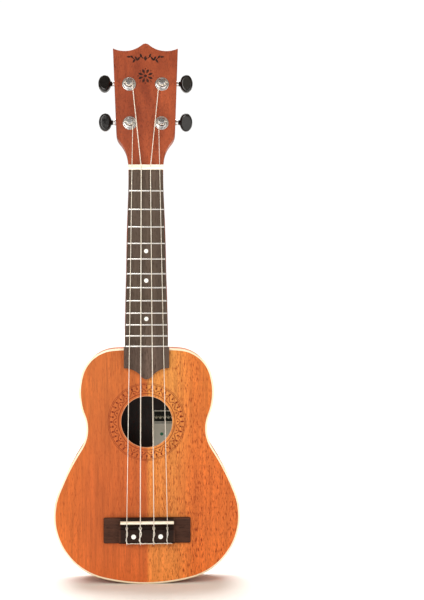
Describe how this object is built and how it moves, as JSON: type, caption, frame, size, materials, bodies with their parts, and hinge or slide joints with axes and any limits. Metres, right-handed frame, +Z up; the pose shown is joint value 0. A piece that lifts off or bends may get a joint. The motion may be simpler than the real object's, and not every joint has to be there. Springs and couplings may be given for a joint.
{
  "type": "ukulele",
  "caption": "Soprano ukulele with an hourglass wooden body, fretted neck, tilted headstock, nylon strings and geared tuning machines.",
  "frame": {"origin": "middle of the bottom of the whole instrument's box, under the tail, as it stands on its tail", "axes": "+Z up the neck from tail to headstock, -Y out of the front (soundboard and strings), +Y out of the flat back, +X to the right of somebody looking at the front"},
  "size_m": [0.1844, 0.0732, 0.5398],
  "materials": {
    "soundboard_wood": "satin open-pored mahogany, pale orange-brown",
    "body_wood": "satin mahogany",
    "neck_wood": "satin reddish-brown mahogany",
    "inner_wood": "unfinished pale wood",
    "dowel_wood": "unfinished beech",
    "binding_cream": "polished cream celluloid",
    "fingerboard_wood": "matt grey-brown rosewood",
    "bridge_wood": "satin dark rosewood",
    "bone": "polished bone",
    "fret_metal": "polished nickel silver",
    "pearl": "mother-of-pearl",
    "nylon": "clear milky nylon",
    "chrome": "polished chrome",
    "gear_brass": "cut brass",
    "screw_steel": "plated steel",
    "button_black": "polished black plastic",
    "paper": "pale printed paper"
  },
  "bodies": {
    "root": {"soundboard": "soundboard_wood", "back_plate": "body_wood", "side_left": "body_wood", "side_right": "body_wood", "neck_block": "inner_wood", "tail_block": "inner_wood", "top_linings": "inner_wood", "back_linings": "inner_wood", "top_binding": "binding_cream", "back_binding": "binding_cream", "top_braces": "inner_wood", "back_braces": "inner_wood", "bridge_plate": "inner_wood", "label": "paper", "neck": "neck_wood", "heel": "neck_wood", "heel_cap": "binding_cream", "neck_dowels": "dowel_wood", "fretboard": "fingerboard_wood", "fretboard_extension": "fingerboard_wood", "frets": "fret_metal", "fret_markers": "pearl", "nut": "bone", "bridge": "bridge_wood", "saddle": "bone", "bridge_bolts": "screw_steel", "bridge_bolt_nuts": "screw_steel", "bridge_dots": "pearl", "string_g": "nylon", "string_c": "nylon", "string_e": "nylon", "string_a": "nylon", "tuner_housing_1": "chrome", "tuner_housing_2": "chrome", "tuner_housing_3": "chrome", "tuner_housing_4": "chrome", "tuner_covers": "chrome", "tuner_bushings": "chrome", "tuner_washers": "chrome", "tuner_mount_screws": "screw_steel"},
    "tuner_key_1": {"button_1": "button_black", "worm_shaft_1": "chrome"},
    "string_post_1": {"post_1": "chrome", "gear_1": "gear_brass", "string_wrap_1": "nylon"},
    "tuner_key_2": {"button_2": "button_black", "worm_shaft_2": "chrome"},
    "string_post_2": {"post_2": "chrome", "gear_2": "gear_brass", "string_wrap_2": "nylon"},
    "tuner_key_3": {"button_3": "button_black", "worm_shaft_3": "chrome"},
    "string_post_3": {"post_3": "chrome", "gear_3": "gear_brass", "string_wrap_3": "nylon"},
    "tuner_key_4": {"button_4": "button_black", "worm_shaft_4": "chrome"},
    "string_post_4": {"post_4": "chrome", "gear_4": "gear_brass", "string_wrap_4": "nylon"}
  },
  "joints": [
    {"name": "button_spin_1", "type": "hinge", "parent": "root", "child": "tuner_key_1", "pos_m": [-0.0158, 0.00212, 0.46017], "axis": [-1, 0, 0], "continuous": true},
    {"name": "post_spin_1", "type": "hinge", "parent": "root", "child": "string_post_1", "pos_m": [-0.0158, -0.01633, 0.45755], "axis": [0, -0.9781, 0.2079], "continuous": true},
    {"name": "button_spin_2", "type": "hinge", "parent": "root", "child": "tuner_key_2", "pos_m": [-0.0165, 0.01062, 0.50018], "axis": [-1, 0, 0], "continuous": true},
    {"name": "post_spin_2", "type": "hinge", "parent": "root", "child": "string_post_2", "pos_m": [-0.0165, -0.00783, 0.49756], "axis": [0, -0.9781, 0.2079], "continuous": true},
    {"name": "button_spin_3", "type": "hinge", "parent": "root", "child": "tuner_key_3", "pos_m": [0.0165, 0.01062, 0.50018], "axis": [1, 0, 0], "continuous": true},
    {"name": "post_spin_3", "type": "hinge", "parent": "root", "child": "string_post_3", "pos_m": [0.0165, -0.00783, 0.49756], "axis": [0, -0.9781, 0.2079], "continuous": true},
    {"name": "button_spin_4", "type": "hinge", "parent": "root", "child": "tuner_key_4", "pos_m": [0.0158, 0.00212, 0.46017], "axis": [1, 0, 0], "continuous": true},
    {"name": "post_spin_4", "type": "hinge", "parent": "root", "child": "string_post_4", "pos_m": [0.0158, -0.01633, 0.45755], "axis": [0, -0.9781, 0.2079], "continuous": true}
  ],
  "couplings": [
    {"joint": "post_spin_1", "follows": "button_spin_1", "ratio": 0.071429},
    {"joint": "post_spin_2", "follows": "button_spin_2", "ratio": 0.071429},
    {"joint": "post_spin_3", "follows": "button_spin_3", "ratio": 0.071429},
    {"joint": "post_spin_4", "follows": "button_spin_4", "ratio": 0.071429}
  ]
}
